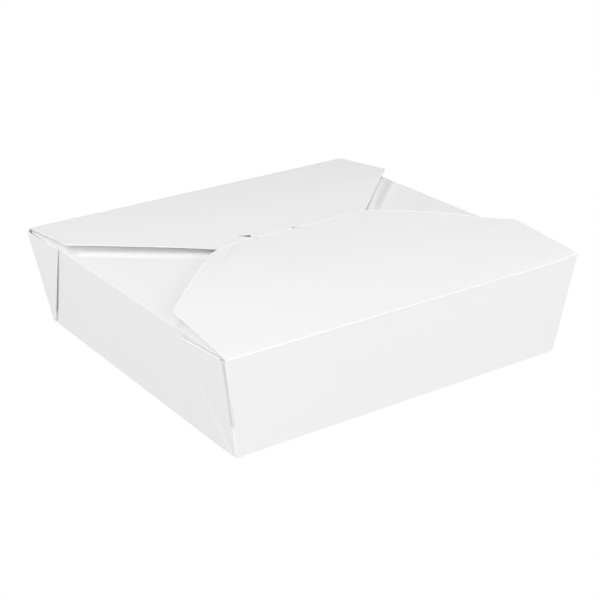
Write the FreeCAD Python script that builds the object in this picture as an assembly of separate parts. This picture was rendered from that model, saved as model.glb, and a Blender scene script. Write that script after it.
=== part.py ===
import FreeCAD, Part
import math
import os

from FreeCAD import Vector

# Square takeout food box folded from one sheet of white paperboard, closed.
# Origin at the middle of the base, front towards -Y, up +Z, millimetres.

# Outside of the tray, crease to crease
top_side = 200.0
base_side = 185.4
tray_height = 52.0
board = 0.5

# Web corners, folded flat on the outside of the two end walls
layer_gap = 0.3
web_reach = 36.6
end_wall_drop = 0.8
web_relief = 0.2

# End flaps, tucked in first
end_flap_depth = 65.0
end_flap_rise = 3.0
end_flap_side_relief = 6.0
end_flap_taper = 28.0
end_flap_corner = 14.0

# Main flaps: straight sides, then a slanted side to the leading edge
flap_side_clearance = 0.4
shoulder_depth = 45.0
slant_angle = 45.0
flap_corner = 10.0
front_left_corner = 38.0
front_shoulder_height = 6.9
front_edge_height = 7.8
back_shoulder_height = 5.7
back_edge_height = 6.6
back_flap_overlap = 8.0
crease_gap = 0.1

# Tongue of the front flap and the slit that it drops through
tongue_right = 0.0
tongue_width = 22.5
tongue_ramp = 2.0
tongue_ramp_drop = 1.4
tongue_depth = 8.0
tongue_corner = 3.0
side_notch_width = 0.7
side_notch_depth = 1.0
slit_clearance = 0.5
slit_tail_reach = 4.4
slit_tail_rise = 5.0
slit_tail_width = 1.2

half_top = top_side / 2
half_base = base_side / 2
flare = (half_top - half_base) / tray_height
skew = math.hypot(1.0, flare)
board_across = board * skew
layer_step = (board + layer_gap) * skew
end_wall_inset = 2 * layer_step
end_top = tray_height - end_wall_drop
front_crease = -half_top
tongue_left = tongue_right - tongue_width


def half_at(z):
    """Half width of the tray's outside at a height."""
    return half_base + flare * z


def slab(points, shift):
    """Flat polygon swept along a vector."""
    corners = [Vector(*p) for p in points]
    return Part.Face(Part.makePolygon(corners + corners[:1])).extrude(Vector(*shift))


def mirrored(shape, normal):
    return shape.mirror(Vector(0, 0, 0), Vector(*normal))


def long_wall():
    """Front wall, outer face down to the table."""
    points = [(-half_base, -half_base, 0), (half_base, -half_base, 0),
              (half_top, -half_top, tray_height), (-half_top, -half_top, tray_height)]
    return slab(points, (0, board_across, 0))


def end_wall():
    """Left end wall, set in by the two web layers outside it."""
    inset = board_across + web_relief

    def corner(sign, z):
        return (-half_at(z) + end_wall_inset, sign * (half_at(z) - inset), z)

    points = [corner(-1, 0), corner(1, 0), corner(1, end_top), corner(-1, end_top)]
    return slab(points, (board_across, 0, 0))


def web_triangle(layer, foot, near, far, thickness):
    """Triangle on the left end wall at the front corner, standing on its point.

    foot, near and far are distances from the corner edge, far and near at the top.
    """
    inward = layer * layer_step
    x_top = -half_at(end_top) + inward
    points = [(-half_base + inward, -half_base + foot, 0),
              (x_top, -half_at(end_top) + near, end_top),
              (x_top, -half_at(end_top) + far, end_top)]
    return slab(points, (thickness, 0, 0))


def web_corner():
    """Folded web: outer layer, inner layer and the bends that join them."""
    relief = board_across + web_relief
    bend = layer_step + board_across
    outer = web_triangle(0, 0, 0, web_reach, board_across)
    inner = web_triangle(1, relief, relief, web_reach, board_across)
    outer_bend = web_triangle(0, 0, web_reach - board, web_reach, bend)
    inner_bend = web_triangle(1, relief, relief, relief + board, bend)
    return outer.fuse([inner, outer_bend, inner_bend])


def end_flap():
    """Left end flap, rising inwards from its crease."""
    rise = math.tan(math.radians(end_flap_rise))
    x0 = -half_at(end_top) + end_wall_inset
    x1 = x0 + end_flap_depth
    y0 = half_top - end_flap_side_relief
    y1 = y0 - end_flap_taper
    tilt = board / math.cos(math.radians(end_flap_rise))

    def point(x, y):
        return (x, y, end_top + (x - x0) * rise)

    flap = slab([point(x0, -y0), point(x1, -y1), point(x1, y1), point(x0, y0)], (0, 0, -tilt))
    far_edges = [e for e in flap.Edges
                 if abs(e.BoundBox.XMin - x1) < 0.01 and e.BoundBox.YLength < 0.01]
    return flap.makeFillet(end_flap_corner, far_edges)


def flap_outline(reach, left_corner, right_corner):
    """Plan of a front main flap as a tall prism, with rounded outer corners."""
    half = half_top - flap_side_clearance
    inset = (reach - shoulder_depth) / math.tan(math.radians(slant_angle))
    y0 = front_crease - board
    y1 = front_crease + shoulder_depth
    y2 = front_crease + reach
    points = [(-half, y0), (half, y0), (half, y1), (half - inset, y2), (-half + inset, y2), (-half, y1)]
    prism = slab([(x, y, 0) for x, y in points], (0, 0, 2 * tray_height))
    for sign, radius in ((-1, left_corner), (1, right_corner)):
        x = sign * (half - inset)
        edges = [e for e in prism.Edges
                 if abs(e.BoundBox.XMin - x) < 0.01 and abs(e.BoundBox.YMin - y2) < 0.01
                 and e.BoundBox.ZLength > tray_height and e.BoundBox.XLength < 0.01]
        prism = prism.makeFillet(radius, edges)
    return prism


def bowed_sheet(reach, shoulder_height, edge_height):
    """Sheet of board bowed about X, from the front crease to the leading edge."""
    def arc(drop):
        start = Vector(-half_top, front_crease, tray_height - drop)
        middle = Vector(-half_top, front_crease + shoulder_depth, tray_height + shoulder_height - drop)
        end = Vector(-half_top, front_crease + reach, tray_height + edge_height - drop)
        return Part.Arc(start, middle, end).toShape(), start, end

    upper, upper_start, upper_end = arc(0)
    lower, lower_start, lower_end = arc(board)
    wire = Part.Wire(Part.__sortEdges__([
        upper, Part.makeLine(upper_end, lower_end), lower, Part.makeLine(lower_start, upper_start)]))
    return Part.Face(wire).extrude(Vector(top_side, 0, 0))


def main_flap(reach, shoulder_height, edge_height, left_corner):
    sheet = bowed_sheet(reach, shoulder_height, edge_height)
    return sheet.common(flap_outline(reach, left_corner, flap_corner))


def box_between(low, high):
    size = Vector(*high) - Vector(*low)
    return Part.makeBox(size.x, size.y, size.z, Vector(*low))


def tongue():
    """Tongue on the leading edge: a short ramp, then straight down through the slit."""
    top = tray_height + front_edge_height
    bend = top - tongue_ramp_drop
    foot = bend - tongue_depth
    inner = tongue_ramp - board
    lean = math.atan2(tongue_ramp_drop, tongue_ramp)
    under = top - board / math.cos(lean)
    profile = [(-board, top), (0, top), (tongue_ramp, bend), (tongue_ramp, foot), (inner, foot),
               (inner, under - inner * math.tan(lean)), (0, under), (-board, top - board)]
    plate = slab([(tongue_left, y, z) for y, z in profile], (tongue_width, 0, 0))
    low_edges = [e for e in plate.Edges
                 if abs(e.BoundBox.ZMin - foot) < 0.01 and e.BoundBox.ZLength < 0.01
                 and e.BoundBox.XLength < 0.01]
    return plate.makeFillet(tongue_corner, low_edges)


def crease_wedge(side):
    """Space on one side of the mitre between the front wall and the front flap."""
    rise = math.atan2(front_shoulder_height, shoulder_depth)
    mitre = (rise - math.atan(1 / flare)) / 2
    along = Vector(0, math.cos(mitre), math.sin(mitre))
    across = Vector(0, -math.sin(mitre), math.cos(mitre)) * side
    reach = 4 * board
    start = Vector(-top_side, front_crease, tray_height) - across * (crease_gap / 2)
    corners = [start - along * reach, start + along * reach,
               start + along * reach + across * reach, start - along * reach + across * reach]
    return slab(corners, (2 * top_side, 0, 0))


def front_flap():
    flap = main_flap(top_side / 2, front_shoulder_height, front_edge_height, front_left_corner)
    low = tray_height - board
    high = tray_height + 2 * front_edge_height
    for x in (tongue_left - side_notch_width, tongue_right):
        notch = box_between((x, -side_notch_depth, low), (x + side_notch_width, board, high))
        flap = flap.cut(notch)
    flap = flap.fuse(tongue())
    return flap.cut(crease_wedge(-1)).removeSplitter()


def slit():
    """Opening in the back flap for the tongue, with its open tail at the left end."""
    low = tray_height
    high = tray_height + 2 * back_edge_height
    x0 = tongue_left - side_notch_width
    x1 = tongue_right + side_notch_width
    main = box_between((x0, -slit_clearance - board, low), (x1, tongue_ramp + slit_clearance, high))
    tail_y = tongue_ramp + slit_clearance
    tail = [(x0, tail_y - slit_tail_width), (x0 + slit_tail_width, tail_y),
            (x0 - slit_tail_reach + slit_tail_width, tail_y + slit_tail_rise),
            (x0 - slit_tail_reach, tail_y + slit_tail_rise - slit_tail_width)]
    return main.fuse(slab([(x, y, low) for x, y in tail], (0, 0, high - low)))


def back_flap():
    reach = top_side / 2 + back_flap_overlap
    flap = main_flap(reach, back_shoulder_height, back_edge_height, flap_corner)
    return mirrored(flap, (0, 1, 0)).cut(slit())


def carton():
    """The whole folded sheet apart from the front flap."""
    floor_half = half_base - end_wall_inset
    base = box_between((-floor_half, -half_base, 0), (floor_half, half_base, board))
    front = long_wall()
    left_side = end_wall().fuse([end_flap(), web_corner(), mirrored(web_corner(), (0, 1, 0))])
    pieces = [front.cut(crease_wedge(1)), mirrored(front, (0, 1, 0)), left_side,
              mirrored(left_side, (1, 0, 0)), back_flap()]
    return base.fuse(pieces).removeSplitter()


def main():
    os.makedirs("parts", exist_ok=True)
    for name, shape in (("carton", carton()), ("front_flap", front_flap())):
        print(name, "solids", len(shape.Solids), "valid", shape.isValid(),
              "volume mm3", round(shape.Volume, 1))
        shape.exportStep("parts/" + name + ".step")


main()
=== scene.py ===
import math

import bpy
from mathutils import Matrix, Vector, geometry


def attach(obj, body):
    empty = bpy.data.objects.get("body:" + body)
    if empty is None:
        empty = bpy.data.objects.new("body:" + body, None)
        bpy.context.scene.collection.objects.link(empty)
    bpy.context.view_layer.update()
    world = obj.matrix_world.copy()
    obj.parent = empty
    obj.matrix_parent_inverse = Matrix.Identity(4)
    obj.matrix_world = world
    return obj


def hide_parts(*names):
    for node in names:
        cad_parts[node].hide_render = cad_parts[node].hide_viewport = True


# Closed takeout food box, folded from one sheet of white paperboard.
# Lengths are millimetres: the front is -Y, up is +Z, the origin is the middle of the base.

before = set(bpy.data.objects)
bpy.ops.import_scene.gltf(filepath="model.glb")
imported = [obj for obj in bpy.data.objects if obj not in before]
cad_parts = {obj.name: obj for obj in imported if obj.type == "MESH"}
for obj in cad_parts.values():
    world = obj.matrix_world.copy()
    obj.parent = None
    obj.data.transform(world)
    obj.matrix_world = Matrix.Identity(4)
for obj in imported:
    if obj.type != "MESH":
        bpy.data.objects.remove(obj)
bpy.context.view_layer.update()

millimetre = 0.001
box = {
    "halfTop": 100.0,
    "halfBase": 92.7,
    "height": 52.0,
    "endTop": 51.2,             # the end walls stop a little below the long ones
    "board": 0.5,
    "layerStep": 0.62,          # one web layer to the next
    "bendRadius": 0.45,
    "baseRadius": 0.4,
}
flare = (box["halfTop"] - box["halfBase"]) / box["height"]


def halfAt(z):                  # half the width of the box at a height
    return box["halfBase"] + flare * z


def mix(start, end, t):
    return start + (end - start) * t


def smooth(t):                  # 0 to 1 with a soft start and end
    t = min(max(t, 0.0), 1.0)
    return t * t * (3 - 2 * t)


def softLeast(*values):         # the least value, rounded where two are near, and 0 unless all are above 0
    if min(values) <= 0:
        return 0.0
    return sum(value ** -4 for value in values) ** -0.25


def spread(start, end, count):  # even steps, both ends included
    return [start + (end - start) * i / (count - 1) for i in range(count)]


def arc(centre, radius, fromAngle, toAngle, count):
    steps = [math.radians(a) for a in spread(fromAngle, toAngle, count)]
    return [(centre[0] + radius * math.cos(a), centre[1] + radius * math.sin(a)) for a in steps]


# Height at t of a smooth curve through knots of (place, height)
def curveThrough(knots, t):
    t = min(max(t, knots[0][0]), knots[-1][0])
    i = max(k for k in range(len(knots) - 1) if knots[k][0] <= t or k == 0)

    def slope(k):
        before, after = max(k - 1, 0), min(k + 1, len(knots) - 1)
        return (knots[after][1] - knots[before][1]) / (knots[after][0] - knots[before][0])

    (t0, h0), (t1, h1) = knots[i], knots[i + 1]
    span = t1 - t0
    s = (t - t0) / span
    return (h0 * (1 + 2 * s) * (1 - s) ** 2 + slope(i) * span * s * (1 - s) ** 2
            + h1 * s * s * (3 - 2 * s) + slope(i + 1) * span * s * s * (s - 1))


# Meshes

sheetMesh = {
    "step": 3.0,                # between the points of a flat blank
    "holeStep": 1.0,
    "clear": 0.4,               # share of a step kept free beside every edge
    "arcStep": 10.0,            # degrees
    "merge": 1e-4,              # points nearer than this become one
    "sharpAngle": 38.0,         # degrees between faces, over which an edge stays crisp
}


def addObject(name, points, faces):
    mesh = bpy.data.meshes.new(name)
    mesh.from_pydata([[v * millimetre for v in p] for p in points], [], faces)
    obj = bpy.data.objects.new(name, mesh)
    bpy.context.scene.collection.objects.link(obj)
    return obj


def addGrid(name, rows, closed=False):
    columns = len(rows[0])
    faces = []
    for r in range(len(rows) - 1):
        a = r * columns
        for c in range(columns if closed else columns - 1):
            n = (c + 1) % columns
            faces.append((a + c, a + n, a + columns + n, a + columns + c))
    return addObject(name, [p for row in rows for p in row], faces)


# Gives a sheet the board's thickness: side -1 is behind its normals, 0 is both ways
def thicken(obj, side):
    solid = obj.modifiers.new("thickness", "SOLIDIFY")
    solid.thickness = box["board"] * millimetre
    solid.offset = side
    solid.use_even_offset = side != 0
    solid.use_rim = True
    # rims take the lighter edge finish: lighter cut board, partly a painted highlight
    solid.material_offset_rim = 1
    return obj


# Turns the faces so that their normals look up, then thickens downwards
def faceUp(obj):
    mesh = obj.data
    if sum(p.normal.z * p.area for p in mesh.polygons) < 0:
        mesh.flip_normals()
    return thicken(obj, -1)


def insideLoop(loop, x, y):
    inside = False
    for (x0, y0), (x1, y1) in zip(loop, loop[1:] + loop[:1]):
        if (y0 > y) != (y1 > y) and x < x0 + (x1 - x0) * (y - y0) / (y1 - y0):
            inside = not inside
    return inside


def distanceToLoop(loop, x, y):
    distances = []
    for (x0, y0), (x1, y1) in zip(loop, loop[1:] + loop[:1]):
        dx, dy = x1 - x0, y1 - y0
        t = min(max(((x - x0) * dx + (y - y0) * dy) / (dx * dx + dy * dy), 0), 1)
        distances.append(math.hypot(x - x0 - t * dx, y - y0 - t * dy))
    return min(distances)


def divideLoop(loop, step):
    points = []
    for (x0, y0), (x1, y1) in zip(loop, loop[1:] + loop[:1]):
        count = max(1, round(math.hypot(x1 - x0, y1 - y0) / step))
        points += [(x0 + (x1 - x0) * i / count, y0 + (y1 - y0) * i / count) for i in range(count)]
    return points


# Flat blank with its holes, cut into triangles and laid on the surface that place gives
def addSheet(name, outline, holes, place):
    step = sheetMesh["step"]
    outline = divideLoop(outline, step)
    holes = [divideLoop(hole, sheetMesh["holeStep"]) for hole in holes]
    loops = [outline] + holes
    low = [min(p[i] for p in outline) for i in (0, 1)]
    high = [max(p[i] for p in outline) for i in (0, 1)]
    across, along = [round((high[i] - low[i]) / step) for i in (0, 1)]
    inner = []
    for x in spread(low[0], high[0], across):
        for y in spread(low[1], high[1], along):
            if insideLoop(outline, x, y) and not any(insideLoop(hole, x, y) for hole in holes):
                if min(distanceToLoop(loop, x, y) for loop in loops) > step * sheetMesh["clear"]:
                    inner.append((x, y))
    flat, edges = [], []
    for loop in loops:
        numbers = list(range(len(flat), len(flat) + len(loop)))
        edges += zip(numbers, numbers[1:] + numbers[:1])
        flat += loop
    found, _, triangles, *_ = geometry.delaunay_2d_cdt(
        [Vector(p) for p in flat + inner], edges, [], 1, sheetMesh["merge"])
    kept = []
    for triangle in triangles:
        x = sum(found[i].x for i in triangle) / len(triangle)
        y = sum(found[i].y for i in triangle) / len(triangle)
        if not any(insideLoop(hole, x, y) for hole in holes):
            kept.append(tuple(triangle))
    return addObject(name, [place(p.x, p.y) for p in found], kept)


# Closed outline through (x, y, radius) corners, each rounded by a tangent arc
def roundedLoop(corners):
    points = []
    for i, (x, y, radius) in enumerate(corners):
        if radius == 0:
            points.append((x, y))
            continue
        here = Vector((x, y))
        before = (Vector(corners[i - 1][:2]) - here).normalized()
        after = (Vector(corners[(i + 1) % len(corners)][:2]) - here).normalized()
        half = before.angle(after) / 2
        centre = here + (before + after).normalized() * (radius / math.sin(half))
        start = here + before * (radius / math.tan(half)) - centre
        turn = math.pi - 2 * half
        if before.cross(after) > 0:
            turn = -turn
        pieces = max(2, math.ceil(math.degrees(abs(turn)) / sheetMesh["arcStep"]))
        for k in range(pieces + 1):
            c, s = math.cos(turn * k / pieces), math.sin(turn * k / pieces)
            points.append((centre.x + start.x * c - start.y * s, centre.y + start.x * s + start.y * c))
    return points


# Joins the parts of one piece, with their thickness applied, and sets it in the frame
def finishPiece(parts, name, body, node):
    depsgraph = bpy.context.evaluated_depsgraph_get()
    for part in parts:
        solid = bpy.data.meshes.new_from_object(part.evaluated_get(depsgraph))
        part.modifiers.clear()
        part.data = solid
    with bpy.context.temp_override(active_object=parts[0], selected_editable_objects=parts):
        bpy.ops.object.join()
    piece = parts[0]
    piece.name = name
    piece.data.shade_smooth()
    piece.data.set_sharp_from_angle(angle=math.radians(sheetMesh["sharpAngle"]))
    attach(piece, body)
    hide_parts(node)


# Burrs: thin beads of stretched board along the cut edges that show light; their lighter finish is a painted
# highlight

burr = {
    "radius": 0.3,
    "proud": 0.13,              # how far a flap's burr stands over its face
    "sides": 8,
    "shoulderGap": 0.5,
    "tongueGaps": (1.2, 0.5),   # bare edge at the left and the right end of the tongue
    "tonguePoints": 12,
    "webRadius": 0.42,
    "webOut": 0.22,
    "webUp": 0.18,
    "webSkip": 4,               # columns left bare beside the corner's bend
    "webLap": 2,                # columns that the burr runs on past the inner layer
}


def cutBead(name, path, sink, radius):
    rows = []
    for i, here in enumerate(path):
        along = (Vector(path[min(i + 1, len(path) - 1)]) - Vector(path[max(i - 1, 0)])).normalized()
        side = along.cross(Vector((0, 0, 1))).normalized()
        up = side.cross(along)
        centre = Vector(here) - sink * up
        turns = [-2 * math.pi * k / burr["sides"] for k in range(burr["sides"])]
        rows.append([centre + radius * (side * math.cos(a) + up * math.sin(a)) for a in turns])
    bead = addGrid(name, rows, closed=True)
    # beads take the lighter edge finish, a painted highlight
    for polygon in bead.data.polygons:
        polygon.material_index = 1
    return bead


# Walls and webs: one strip of board that goes all round the tray

walls = {
    "rows": 24,
    "foot": 0.9,                # height where the strip meets the rounded base
    "topDrop": 0.3,             # the long walls stop this far below their crease
    "endDrop": 0.1,
    "relief": 3.4,              # the inner web layer stops this far from the corner
    "leastWeb": 0.1,            # length left to a web, and to its inner layer, at the foot
    "leastInner": 0.05,
    "crowding": 1.6,            # columns stand closer together near a corner
    "innerClimb": 2,            # columns in which a web's inner layer comes up to the wall's top
    "grooveDrop": 1.0,          # pinched board beside a corner: a quick drop and a slow return
    "grooveReturn": 2.6,
    "grooveFoot": 8.0,          # height where the groove starts, and the height it takes to deepen
    "grooveRise": 30.0,
    "squeeze": 0.2,             # web layers pressed together by this much
    "gapRun": 20.0,             # the end wall closes up to the web over this length
    "gapFoot": 0.1,             # share of that gap left at the foot, and the height it takes to open
    "gapRise": 12.0,
    "endInset": (-0.4, 0.7),    # end wall behind the outer web layer, at the foot and the top
    "insetStart": 0.2,
    "insetRun": 4.0,
}
webs = {
    "nearLeft": {"reach": 39.6, "drop": 2.9, "groove": 0.3, "open": 0.1, "lean": (0.0, 0.0)},
    "farLeft": {"reach": 33.6, "drop": 0.0, "groove": 0.1, "open": -0.3, "lean": (1.2, 1.2)},
    "farRight": {"reach": 36.6, "drop": 1.0, "groove": 0.2, "open": 0.4, "lean": (0.2, 0.2)},
    "nearRight": {"reach": 36.6, "drop": 1.5, "groove": 0.2, "open": 0.4, "lean": (0.9, 0.0)},
}
columns = {"wall": 14, "bend": 6, "outer": 24, "fold": 8, "inner": 10, "endWall": 60}


# Plan of the strip at one height, from the middle of a long wall to that of an end wall
def quarterPath(z, web):
    half = halfAt(z) - box["board"] / 2
    bend = box["bendRadius"]
    fold = box["layerStep"] / 2
    rise = z / box["endTop"]
    reach = max(web["reach"] * rise, bend + fold + walls["leastWeb"])
    back = min(walls["relief"] + fold, reach - fold - walls["leastInner"])
    depth = web["groove"] * smooth((z - walls["grooveFoot"]) / walls["grooveRise"])
    fall = walls["grooveDrop"]
    lean = mix(*web["lean"], rise)
    inset = mix(*walls["endInset"], rise)
    path = [(-x, -half) for x in spread(0, half - bend + lean, columns["wall"])]
    path += arc((-half + bend - lean, -half + bend), bend, 270, 180, columns["bend"] + 1)[1:]
    for t in spread(0, 1, columns["outer"] + 1)[1:]:
        y = bend + (reach - fold - bend) * t ** walls["crowding"]
        dent = smooth((y - bend) / (fall - bend)) * (1 - smooth((y - fall) / walls["grooveReturn"]))
        path.append((-half + depth * dent - lean * (1 - rise * y / reach), -half + y))
    turn = path[-1][0] + fold
    path += arc((turn, -half + reach - fold), fold, 180, 0, columns["fold"] + 1)[1:]
    for y in spread(reach - fold, back, columns["inner"] + 1)[1:]:
        spring = web["open"] * rise * smooth((reach - y) / reach)
        path.append((turn + fold + spring, -half + y))
    gap = max(path[-1][0] + half + fold, 3 * fold - walls["squeeze"])
    path += arc((-half + gap, -half + back), fold, 180, 360, columns["fold"] + 1)[1:]
    for y in spread(back, half, columns["endWall"])[1:]:
        behind = 4 * fold + (gap - 3 * fold) * (1 - smooth((y - back) / walls["gapRun"]))
        behind *= mix(walls["gapFoot"], 1, smooth(z / walls["gapRise"]))
        out = smooth((y - reach - walls["insetStart"]) / walls["insetRun"])
        path.append((-half + mix(behind, inset, out), -half + y))
    return path


# Height of the strip's top edge for each point of a quarter's path
def quarterTops(web):
    wallTop = box["height"] - walls["topDrop"]
    top = box["endTop"]
    low = top - web["drop"]
    tops = [wallTop] * columns["wall"]
    tops += [wallTop + (top - wallTop) * i / columns["bend"] for i in range(1, columns["bend"] + 1)]
    tops += [mix(top, low, t ** walls["crowding"]) for t in spread(0, 1, columns["outer"] + 1)[1:]]
    tops += [low] * columns["fold"]
    tops += [mix(low, top, min(i / walls["innerClimb"], 1)) for i in range(1, columns["inner"] + 1)]
    return tops + [top] * columns["fold"] + [top - walls["endDrop"]] * (columns["endWall"] - 1)


# Four quarters in a ring, the first and the last of them along the front wall
def wallStrip():
    quarters = ((1, 1, "nearLeft"), (1, -1, "farLeft"), (-1, -1, "farRight"), (-1, 1, "nearRight"))
    ring = []
    for turn, (sx, sy, corner) in enumerate(quarters):
        web = webs[corner]
        strip = []
        for i, top in enumerate(quarterTops(web)):
            levels = spread(walls["foot"], top, walls["rows"])
            places = [(quarterPath(z, web)[i], z) for z in levels]
            strip.append([(x * sx, y * sy, z) for (x, y), z in places])
        if turn % 2:
            strip.reverse()
        ring += strip[:-1]
    rows = [[column[r] for column in ring] for r in range(walls["rows"])]
    return thicken(addGrid("wallStrip", rows, closed=True), 0)


# Burr on the top edge of one web layer, between two columns of the strip
def webBead(corner, side, first, last):
    web = webs[corner]
    tops = quarterTops(web)
    path = []
    for i in range(first, last):
        x, y = quarterPath(tops[i], web)[i]
        path.append((x - burr["webOut"], y * side, tops[i] + burr["webUp"]))
    return cutBead("webBead", path, 0.0, burr["webRadius"])


def webBeads():
    outerStart = columns["wall"] + columns["bend"]
    outerEnd = outerStart + columns["outer"]
    innerStart = outerEnd + columns["fold"]
    innerEnd = innerStart + columns["inner"]
    return [webBead("nearLeft", 1, outerStart + burr["webSkip"], outerEnd),
            webBead("farLeft", -1, innerStart - burr["webLap"], innerEnd + burr["webLap"])]


base = {
    "lap": 0.1,                 # the turned-up edge runs this far up inside the walls' foot
    "bendPoints": 7,
    "columns": 20,
    "bulgeRun": 6.0,            # from an end of the base to where it is as wide as the end walls' foot
}


# Base panel with its four edges turned up to meet the walls
def basePan():
    r = box["baseRadius"]
    half = box["board"] / 2

    def profile(edge):
        side = [(edge + flare * (r - half), walls["foot"] + base["lap"])]
        side += [(edge - r + r * math.cos(math.radians(a)), half + r - r * math.sin(math.radians(a)))
                 for a in spread(0, 90, base["bendPoints"])]
        inner = [(x, half) for x in spread(edge - r, -edge + r, base["columns"])[1:-1]]
        return side + inner + [(-x, z) for x, z in reversed(side)]

    sides = profile(halfAt(0) - half)
    rows = []
    for y, zy in sides:
        within = smooth((box["halfBase"] - abs(y)) / base["bulgeRun"])
        bulge = 1 - walls["endInset"][0] / box["halfBase"] * within
        rows.append([(x * bulge, y, max(zx, zy)) for x, zx in sides])
    return thicken(addGrid("basePan", rows), 0)


# Main flaps and the rounded creases on which they turn

mainFlap = {
    "halfWidth": 99.6,
    "shoulder": 45.0,           # the flap is full width up to here, then slants at 45 degrees
    "shoulderRadius": 1.2,
    "sidePower": 1.5,           # a side's rise gives way to the middle's with this power of the place
    "liftStart": 86.0,          # lifted board at the right end of a crease: place across, run and fade
    "liftRun": 13.0,
    "liftFade": 5.0,
}
crease = {
    "start": 0.5,               # the flat blank starts this far from the crease
    "foot": 51.2,               # height where the rounded crease leaves its wall
    "round": 0.35,
    "slopeRun": 0.4,
    "rows": 12,
    "columns": 67,
    "rowsBelowHighlight": 5,              # rows below the crease's lighter board: stretched board with a painted highlight
}
frontFlap = {                   # rises are (distance from the crease, height) along each side and the middle
    "reach": 100.0,
    "leftCorner": 38.0,
    "rightCorner": 10.0,
    "leftRise": ((0, 0), (2, 0.95), (11, 2.2), (21, 3.6), (45, 7.1), (62, 8.8), (74, 9.7),
                 (88, 9.6), (100, 8.8)),
    "middleRise": ((0, 0), (3, 0.7), (25, 4.0), (45, 6.6), (75, 7.8), (100, 7.6)),
    "rightRise": ((0, -0.3), (2, 0.8), (12, 2.7), (23, 4.0), (34, 5.1), (45, 6.1), (59, 6.5),
                  (73, 8.2), (88, 8.2), (100, 7.8)),
    "endLift": 1.7,
}
backFlap = {
    "reach": 108.0,
    "corner": 10.0,
    "leftRise": ((0, 0.5), (1, 1.2), (4, 1.45), (12, 2.4), (24, 3.4), (47, 5.3), (69, 6.1),
                 (91, 7.05), (108, 6.5)),
    "middleRise": ((0, 0.3), (1, 1.0), (4, 1.5), (25, 3.7), (55, 6.0), (80, 6.6), (100, 6.9),
                   (108, 6.9)),
    "rightRise": ((0, 0.2), (1, 0.8), (4, 1.2), (12, 1.9), (22, 2.8), (44, 5.1), (55, 6.2),
                  (70, 6.1), (93, 5.6), (108, 5.5)),
    "endLift": 0.0,
}


# Height over the crease at a place across the flap and a distance from its crease
def flapHeight(flap, x, d):
    s = x / mainFlap["halfWidth"]
    middle = curveThrough(flap["middleRise"], d)
    side = curveThrough(flap["leftRise"] if s < 0 else flap["rightRise"], d)
    lift = flap["endLift"] * smooth((x - mainFlap["liftStart"]) / mainFlap["liftRun"])
    lift *= math.exp(-d / mainFlap["liftFade"])
    return mix(middle, side, abs(s) ** mainFlap["sidePower"]) + lift


def frontFlapPlace(x, d):
    return (x, d - box["halfTop"], box["height"] + flapHeight(frontFlap, x, d))


def backFlapPlace(x, d):
    return (x, box["halfTop"] - d, box["height"] + flapHeight(backFlap, x, d))


def flapOutline(reach, leftCorner, rightCorner, cuts):
    half = mainFlap["halfWidth"]
    shoulder, rounding = mainFlap["shoulder"], mainFlap["shoulderRadius"]
    tip = half - (reach - shoulder)
    start = crease["start"]
    corners = [(-half, start, 0), (half, start, 0), (half, shoulder, rounding), (tip, reach, rightCorner)]
    corners += cuts
    return roundedLoop(corners + [(-tip, reach, leftCorner), (-half, shoulder, rounding)])


# Rounded crease along X between the top of a long wall and the start of its flap
def creaseStrip(side, name, flap):
    start, foot, rounding = crease["start"], crease["foot"], crease["round"]
    rows = []
    for t in spread(0, 1, crease["rows"]):
        share = ((1 - t) ** 3, 3 * t * (1 - t) ** 2, 3 * t * t * (1 - t), t ** 3)
        row = []
        for x in spread(-mainFlap["halfWidth"], mainFlap["halfWidth"], crease["columns"]):
            rise = flapHeight(flap, x, start)
            slope = (flapHeight(flap, x, start + crease["slopeRun"]) - rise) / crease["slopeRun"]
            height = box["height"] + rise
            bend = ((halfAt(foot), foot), (halfAt(height - rounding), height - rounding),
                    (box["halfTop"] - start + rounding, height - rounding * slope),
                    (box["halfTop"] - start, height))
            y, z = (sum(w * p[i] for w, p in zip(share, bend)) for i in (0, 1))
            row.append((x, -side * y, z))
        rows.append(row)
    obj = addGrid(name, rows)
    polygons = obj.data.polygons
    if polygons[len(polygons) // 2].normal.y * -side < 0:
        obj.data.flip_normals()
    # the upper crease rows take the lighter edge finish, a painted highlight along the crease
    for polygon in polygons:
        polygon.material_index = int(polygon.index // (crease["columns"] - 1) >= crease["rowsBelowHighlight"])
    return thicken(obj, -1)


# Lock: the front flap's tongue goes down through a slit in the back flap

lock = {
    "right": 1.4,               # right end of the tongue
    "width": 23.9,
    "ramp": 2.0,                # the tongue slopes down over this run, by this drop, then hangs
    "rampDrop": 1.4,
    "depth": 8.0,
    "corner": 3.0,
    "rampRows": (0, 0.1, 0.2, 0.35, 0.6, 0.8, 0.9, 1.0),
    "hangRows": (0.03, 0.08, 0.2, 0.4, 0.65, 0.75, 0.85, 0.93, 0.98, 1.0),
    "columns": 12,
    "leftCut": (0.45, 4.2),     # width and depth of the cuts beside the tongue
    "rightCut": (1.3, 1.8),
    "clearance": 0.15,          # from the tongue to the slit's far edge
    "holeClearance": 1.5,       # how much further the slit opens behind the right cut
    "slitNear": -1.0,
    "slitTaper": 2.5,           # at its left end the slit narrows to a neck, then opens to a tail
    "neckStart": (0.4, 1.0),
    "neckWidth": 0.1,
    "tail": ((2.0, 6.6), (-3.4, 9.1), (-3.8, 8.5), (0.4, 4.1)),  # from the slit's left end
}
tongueLeft = lock["right"] - lock["width"]
slitLeft = tongueLeft - lock["leftCut"][0]
slitRight = lock["right"] + lock["rightCut"][0]


def frontFlapSheet():
    reach, right = frontFlap["reach"], lock["right"]
    leftRoot, rightRoot = reach - lock["leftCut"][1], reach - lock["rightCut"][1]
    cuts = [(slitRight, reach, 0), (slitRight, rightRoot, 0), (right, rightRoot, 0), (right, reach, 0),
            (tongueLeft, reach, 0), (tongueLeft, leftRoot, 0), (slitLeft, leftRoot, 0), (slitLeft, reach, 0)]
    outline = flapOutline(reach, frontFlap["leftCorner"], frontFlap["rightCorner"], cuts)
    return faceUp(addSheet("frontFlap", outline, [], frontFlapPlace))


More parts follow.
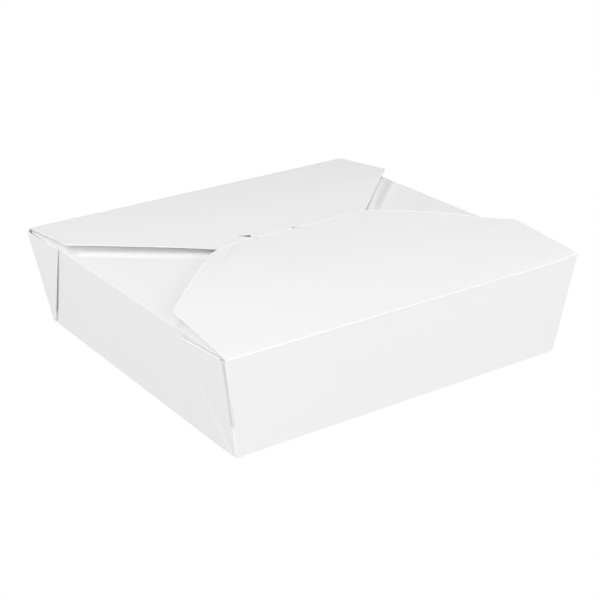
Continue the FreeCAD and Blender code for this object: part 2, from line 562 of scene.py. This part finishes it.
# Burr on the slanted and leading edges, with gaps at the cuts beside the tongue
def frontFlapBeads():
    reach = frontFlap["reach"]
    outline = flapOutline(reach, frontFlap["leftCorner"], frontFlap["rightCorner"], [])
    loop = [p for p in divideLoop(outline, sheetMesh["step"])
            if p[1] > mainFlap["shoulder"] + burr["shoulderGap"]]
    ends = slitLeft + burr["tongueGaps"][0], lock["right"] - burr["tongueGaps"][1]
    spans = {
        "rightBead": [p for p in loop if p[0] > slitRight],
        "leftBead": [p for p in loop if p[0] < slitLeft],
        "tongueBead": [(x, reach) for x in spread(*ends, burr["tonguePoints"])],
    }
    sink = burr["radius"] - burr["proud"]
    return [cutBead(name, [frontFlapPlace(*p) for p in span], sink, burr["radius"])
            for name, span in spans.items()]


def tongueSheet():
    reach, right, corner = frontFlap["reach"], lock["right"], lock["corner"]
    top = [box["height"] + flapHeight(frontFlap, x, reach) for x in (tongueLeft, right)]
    ramp = math.hypot(lock["ramp"], lock["rampDrop"])
    steps = [ramp * t for t in lock["rampRows"]] + [ramp + lock["depth"] * t for t in lock["hangRows"]]
    rows = []
    for s in steps:
        onRamp = min(s / ramp, 1)
        y = lock["ramp"] * onRamp
        drop = lock["rampDrop"] * onRamp + max(s - ramp, 0)
        past = max(s - ramp - lock["depth"] + corner, 0) / corner
        inset = corner * (1 - math.sqrt(max(1 - past * past, 0)))
        row = []
        for t in spread(0, 1, lock["columns"]):
            x = tongueLeft + inset + (right - tongueLeft - 2 * inset) * t
            row.append((x, y + reach - box["halfTop"], mix(*top, t) - drop))
        rows.append(row)
    return faceUp(addGrid("tongue", rows))


def backFlapSheet():
    outline = flapOutline(backFlap["reach"], backFlap["corner"], backFlap["corner"], [])
    near, far, right = lock["slitNear"], lock["ramp"] + lock["clearance"], lock["right"]
    over = far + lock["holeClearance"]
    neck, neckFoot = lock["neckStart"]
    slit = [(slitLeft, near), (slitRight, near), (slitRight, over), (right, over), (right, far),
            (slitLeft + lock["slitTaper"], far), (slitLeft + neck, neckFoot),
            (slitLeft + neck, lock["tail"][-1][1] - lock["neckWidth"])]
    slit += [(slitLeft + x, y) for x, y in lock["tail"]]
    hole = [(x, box["halfTop"] - y) for x, y in slit]
    return faceUp(addSheet("backFlap", outline, [hole], backFlapPlace))


# End flaps, tucked in under the main flaps

endFlap = {
    "depth": 65.0,
    "rise": 3.0,                # degrees
    "rows": 60,
    "columns": 161,
    "crowding": 1.7,            # rows stand closer together near the crease
    "swell": (0.25, 1.8),       # rounded board just inside the left and the right crease
    "swellWidth": 0.9,
    "sideRelief": 1.6,
    "taper": 28.0,
    "corner": 14.0,
    "underGap": 0.5,
    "tipSlope": 0.5,            # a sloping corner is no steeper than this, from tipStart inwards
    "tipStart": 2.5,
    "crestWidth": 3.2,
    "crestStart": 1.0,          # a crest comes up from here, over the length of crestRun
    "crestRun": 6.0,
    "valleyWidth": 2.0,
    "valleyRun": 4.0,           # a valley deepens over this length from the crease
}
endCorners = {                  # each corner changes past a fold at 45 degrees, under its main flap
    "nearLeft": {"fold": 55.7, "foldWidth": 9.0, "crest": 1.55, "steepness": 4.0,
                 "slope": 0.0, "valley": 0.0},
    "farLeft": {"fold": 55.7, "foldWidth": 7.5, "crest": 1.55, "steepness": 4.0,
                "slope": 0.0, "valley": 0.0},
    "farRight": {"fold": 47.6, "foldWidth": 7.0, "crest": 0.0, "steepness": 0.0,
                 "slope": 1.0, "valley": 0.35},
    "nearRight": {"fold": 48.5, "foldWidth": 7.0, "crest": 0.0, "steepness": 0.3,
                  "slope": 0.0, "valley": 0.0},
}


# Height over the end wall's top, at u in from the crease: a gentle slope as far as the fold,
# then up towards the underside of the main flap, with a crest or a valley along the fold
def endFlapHeight(u, y, corner, flap, side):
    shape = endCorners[corner]
    low = u * math.tan(math.radians(endFlap["rise"]))
    low += endFlap["swell"][side > 0] * (1 - math.exp(-u / endFlap["swellWidth"]))
    past = (abs(y) - shape["fold"] + u) / math.sqrt(2)
    over = flapHeight(flap, side * mainFlap["halfWidth"], box["halfTop"] - abs(y))
    under = over + box["height"] - box["endTop"] - box["board"] - endFlap["underGap"]
    high = softLeast(shape["steepness"] * u, under)
    height = low + max(high - low, 0) * smooth(past / shape["foldWidth"])
    height += softLeast(shape["slope"] * past, endFlap["tipSlope"] * (u - endFlap["tipStart"]),
                        under + endFlap["underGap"] - low)
    crest = shape["crest"] * smooth(past / endFlap["crestWidth"] + 1)
    crest *= 1 - smooth(past / shape["foldWidth"])
    valley = shape["valley"] * math.exp(-(past / endFlap["valleyWidth"]) ** 2)
    return (height + smooth((u - endFlap["crestStart"]) / endFlap["crestRun"]) * crest
            - smooth(u / endFlap["valleyRun"]) * valley)


def endFlapSheet(side):         # side -1 is the left flap, 1 the right
    x0 = halfAt(box["endTop"]) - walls["endInset"][1]
    depth, radius = endFlap["depth"], endFlap["corner"]
    near, far = ("nearLeft", "farLeft") if side < 0 else ("nearRight", "farRight")
    rows = []
    for t in spread(0, 1, endFlap["rows"]):
        u = depth * t ** endFlap["crowding"]
        half = box["halfTop"] - endFlap["sideRelief"] - endFlap["taper"] * u / depth
        past = max(u - depth + radius, 0)
        half -= radius - math.sqrt(radius * radius - past * past)
        row = []
        for y in spread(-half, half, endFlap["columns"]):
            corner, flap = (far, backFlap) if y > 0 else (near, frontFlap)
            row.append((side * (x0 - u), y, box["endTop"] + endFlapHeight(u, y, corner, flap, side)))
        rows.append(row)
    return faceUp(addGrid("endFlap", rows))


# Finish: white board with a fine fibre, lighter where it is cut or stretched; that lighter board is partly a
# painted highlight

fibre = {"scale": 1300.0, "detail": 3, "broadScale": 18, "broadDetail": 2, "broadShare": 0.35}
finishes = {                    # light and dark of the fibre, roughness, strength of its relief
    "boardFace": {"light": (0.915, 0.915, 0.91), "dark": (0.87, 0.87, 0.865),
                  "roughness": 0.6, "relief": 0.3},
    # lighter board on rims, burrs and the upper crease rows, partly a painted highlight
    "boardEdgeAndHighlight": {"light": (0.985, 0.985, 0.98), "dark": (0.965, 0.965, 0.96),
                  "roughness": 0.8, "relief": 0.5},
}
sheen = {"specular": 0.3, "fibreDepth": 0.05}
marksAndPaintedLight = {                       # from, to, radius in millimetres, tone at the middle: specks and a scratch, and painted shade and highlight
    "carton": {
        # painted shade in the groove beside the near left corner's ridge
        "paintedGrooveShade": ((-99.6, -97.4, 49.5), (-95.3, -94.6, 18.0), 2.1, 0.76),
        # painted highlight along the near left corner's ridge
        "paintedRidgeHighlight": ((-99.9, -99.7, 49.5), (-93.2, -92.9, 3.0), 0.9, 1.08),
        "scratch": ((-96.8, -37.3, 29.0), (-96.5, -40.4, 27.0), 0.6, 0.96),
        # painted shade in the valley of the right end flap, under the back flap
        "paintedValleyShade": ((98.0, 49.6, 52.4), (62.0, 13.6, 54.0), 4.2, 0.83),
        "backFlapSpeck": ((29.4, 68.6, 57.0), (29.9, 68.6, 57.0), 2.0, 0.94),
    },
    "frontFlap": {
        "speck": ((-30.1, -63.5, 57.2), (-29.6, -63.5, 57.2), 2.0, 0.97),
        "creaseSpeck": ((38.9, -98.8, 52.6), (39.4, -98.8, 52.6), 0.9, 0.97),
    },
}


def newGroup(name, inputs, outputs):
    group = bpy.data.node_groups.new(name, "ShaderNodeTree")
    for label, kind in inputs.items():
        group.interface.new_socket(name=label, in_out="INPUT", socket_type=kind)
    for label, kind in outputs.items():
        group.interface.new_socket(name=label, in_out="OUTPUT", socket_type=kind)
    return group, group.nodes.new("NodeGroupInput"), group.nodes.new("NodeGroupOutput")


def fibreGroup():
    group, given, made = newGroup(
        "boardFibre",
        {"Light": "NodeSocketColor", "Dark": "NodeSocketColor", "Scale": "NodeSocketFloat"},
        {"Color": "NodeSocketColor", "Height": "NodeSocketFloat"})
    nodes, link = group.nodes, group.links.new
    place = nodes.new("ShaderNodeTexCoord")
    fine = nodes.new("ShaderNodeTexNoise")
    fine.inputs["Detail"].default_value = fibre["detail"]
    broad = nodes.new("ShaderNodeTexNoise")
    broad.inputs["Scale"].default_value = fibre["broadScale"]
    broad.inputs["Detail"].default_value = fibre["broadDetail"]
    share = nodes.new("ShaderNodeMix")
    share.data_type = "FLOAT"
    share.inputs["Factor"].default_value = fibre["broadShare"]
    tone = nodes.new("ShaderNodeMix")
    tone.data_type = "RGBA"
    link(place.outputs["Object"], fine.inputs["Vector"])
    link(place.outputs["Object"], broad.inputs["Vector"])
    link(given.outputs["Scale"], fine.inputs["Scale"])
    link(fine.outputs["Fac"], share.inputs["A"])
    link(broad.outputs["Fac"], share.inputs["B"])
    link(share.outputs["Result"], tone.inputs["Factor"])
    link(given.outputs["Dark"], tone.inputs["A"])
    link(given.outputs["Light"], tone.inputs["B"])
    link(tone.outputs["Result"], made.inputs["Color"])
    link(fine.outputs["Fac"], made.inputs["Height"])
    return group


# Tints the colour within a radius of the line between two places, most at the middle: specks, a scratch, and
# painted shade and highlight
def markGroup():
    group, given, made = newGroup(
        "boardMarkAndPaintedLight",
        {"Color": "NodeSocketColor", "From": "NodeSocketVector", "To": "NodeSocketVector",
         "Radius": "NodeSocketFloat", "Tone": "NodeSocketFloat"},
        {"Color": "NodeSocketColor"})
    nodes, link = group.nodes, group.links.new
    place = nodes.new("ShaderNodeTexCoord")

    def vectorMath(operation, a, b, output="Vector"):
        node = nodes.new("ShaderNodeVectorMath")
        node.operation = operation
        link(a, node.inputs[0])
        link(b, node.inputs["Scale" if operation == "SCALE" else 1])
        return node.outputs[output]

    away = vectorMath("SUBTRACT", place.outputs["Object"], given.outputs["From"])
    along = vectorMath("SUBTRACT", given.outputs["To"], given.outputs["From"])
    share = nodes.new("ShaderNodeMath")
    share.operation = "DIVIDE"
    share.use_clamp = True
    link(vectorMath("DOT_PRODUCT", away, along, "Value"), share.inputs[0])
    link(vectorMath("DOT_PRODUCT", along, along, "Value"), share.inputs[1])
    nearest = vectorMath("SCALE", along, share.outputs["Value"])
    fade = nodes.new("ShaderNodeMapRange")
    fade.interpolation_type = "SMOOTHSTEP"
    link(vectorMath("DISTANCE", away, nearest, "Value"), fade.inputs["Value"])
    link(given.outputs["Radius"], fade.inputs["From Max"])
    link(given.outputs["Tone"], fade.inputs["To Min"])
    link(vectorMath("SCALE", given.outputs["Color"], fade.outputs["Result"]), made.inputs["Color"])
    return group


def addGroup(nodes, group, values):
    node = nodes.new("ShaderNodeGroup")
    node.node_tree = group
    for label, value in values.items():
        node.inputs[label].default_value = value
    return node


def boardMaterial(name, fibreNodes, markNodes, pieceMarks):
    finish = finishes[name]
    material = bpy.data.materials.new(name)
    material.use_nodes = True
    nodes, link = material.node_tree.nodes, material.node_tree.links.new
    shader = nodes["Principled BSDF"]
    grain = addGroup(nodes, fibreNodes, {
        "Light": (*finish["light"], 1), "Dark": (*finish["dark"], 1), "Scale": fibre["scale"]})
    tone = grain.outputs["Color"]
    for begin, end, radius, dim in pieceMarks.values():
        mark = addGroup(nodes, markNodes, {
            "From": [v * millimetre for v in begin], "To": [v * millimetre for v in end],
            "Radius": radius * millimetre, "Tone": dim})
        link(tone, mark.inputs["Color"])
        tone = mark.outputs["Color"]
    bump = nodes.new("ShaderNodeBump")
    bump.inputs["Strength"].default_value = finish["relief"]
    bump.inputs["Distance"].default_value = sheen["fibreDepth"] * millimetre
    link(grain.outputs["Height"], bump.inputs["Height"])
    link(tone, shader.inputs["Base Color"])
    link(bump.outputs["Normal"], shader.inputs["Normal"])
    shader.inputs["Roughness"].default_value = finish["roughness"]
    shader.inputs["Specular IOR Level"].default_value = sheen["specular"]
    return material


# Studio

camera = {
    "place": (-367.58, -566.76, 306.71),
    "azimuth": -33.2,
    "elevation": 22.98,
    "roll": -1.4862,
    "lens": 85.66,
    "sensor": 36.0,
    "clip": (0.05, 20),         # metres
}
studio = {
    "world": 0.18,
    "floorGlow": 1.0,
    "floorHalf": 6000,
    "floorLevel": -0.1,
    "lampSize": 0.9,
    "lamps": {                  # place in metres, power in watts
        "over": ((0, 0, 1.5), 4.9),
        "leftHigh": ((-0.9, 0.1, 1.2), 8.7),
        "frontLeft": ((-0.9, -0.9, 1.0), 3.9),
        "front": ((-0.1, -1.4, 0.5), 6.6),
        "back": ((-0.1, 1.2, 1.0), 1.85),
        "right": ((1.4, 0.2, 0.8), 5.3),
    },
}


def addCamera():
    data = bpy.data.cameras.new("camera")
    data.lens = camera["lens"]
    data.sensor_width = camera["sensor"]
    data.clip_start, data.clip_end = camera["clip"]
    obj = bpy.data.objects.new("camera", data)
    bpy.context.scene.collection.objects.link(obj)
    a, e = math.radians(camera["azimuth"]), math.radians(camera["elevation"])
    back = Vector((math.sin(a) * math.cos(e), -math.cos(a) * math.cos(e), math.sin(e)))
    right = Vector((0, 0, 1)).cross(back).normalized()
    turn = Matrix.Rotation(math.radians(camera["roll"]), 3, back)
    axes = Matrix((turn @ right, turn @ back.cross(right), back)).transposed().to_4x4()
    obj.matrix_world = Matrix.Translation(Vector(camera["place"]) * millimetre) @ axes
    bpy.context.scene.camera = obj


def addFloor():
    half, level = studio["floorHalf"], studio["floorLevel"]
    corners = [(-half, -half, level), (half, -half, level), (half, half, level), (-half, half, level)]
    floor = addObject("floor", corners, [(0, 1, 2, 3)])
    material = bpy.data.materials.new("paleFloor")
    material.use_nodes = True
    shader = material.node_tree.nodes["Principled BSDF"]
    shader.inputs["Base Color"].default_value = (0, 0, 0, 1)
    shader.inputs["Specular IOR Level"].default_value = 0
    shader.inputs["Emission Color"].default_value = (1, 1, 1, 1)
    shader.inputs["Emission Strength"].default_value = studio["floorGlow"]
    floor.data.materials.append(material)


def addLights():
    world = bpy.data.worlds.new("studio")
    world.use_nodes = True
    background = world.node_tree.nodes["Background"]
    background.inputs["Color"].default_value = (1, 1, 1, 1)
    background.inputs["Strength"].default_value = studio["world"]
    bpy.context.scene.world = world
    for name, (place, power) in studio["lamps"].items():
        data = bpy.data.lights.new(name, "AREA")
        data.energy = power
        data.size = studio["lampSize"]
        lamp = bpy.data.objects.new(name, data)
        bpy.context.scene.collection.objects.link(lamp)
        aim = Vector(place).to_track_quat("Z", "Y").to_matrix().to_4x4()
        lamp.matrix_world = Matrix.Translation(place) @ aim


print("webs, walls and base")
trayParts = webBeads() + [wallStrip(), basePan()]

print("end flaps and back flap")
trayParts += [endFlapSheet(-1), endFlapSheet(1), backFlapSheet(), creaseStrip(-1, "backCrease", backFlap)]

print("front flap and tongue")
lidParts = [frontFlapSheet(), tongueSheet(), creaseStrip(1, "frontCrease", frontFlap)] + frontFlapBeads()

print("board finish")
fibreNodes, markNodes = fibreGroup(), markGroup()
for parts, pieceMarks in ((trayParts, marksAndPaintedLight["carton"]), (lidParts, marksAndPaintedLight["frontFlap"])):
    for name in finishes:
        material = boardMaterial(name, fibreNodes, markNodes, pieceMarks)
        for part in parts:
            part.data.materials.append(material)

print("pieces in the frame")
finishPiece(trayParts, "carton_board", "tray", "carton")
finishPiece(lidParts, "front_flap_board", "lid_flap", "front_flap")

print("studio")
bpy.context.scene.view_settings.view_transform = "Standard"
addFloor()
addLights()
addCamera()
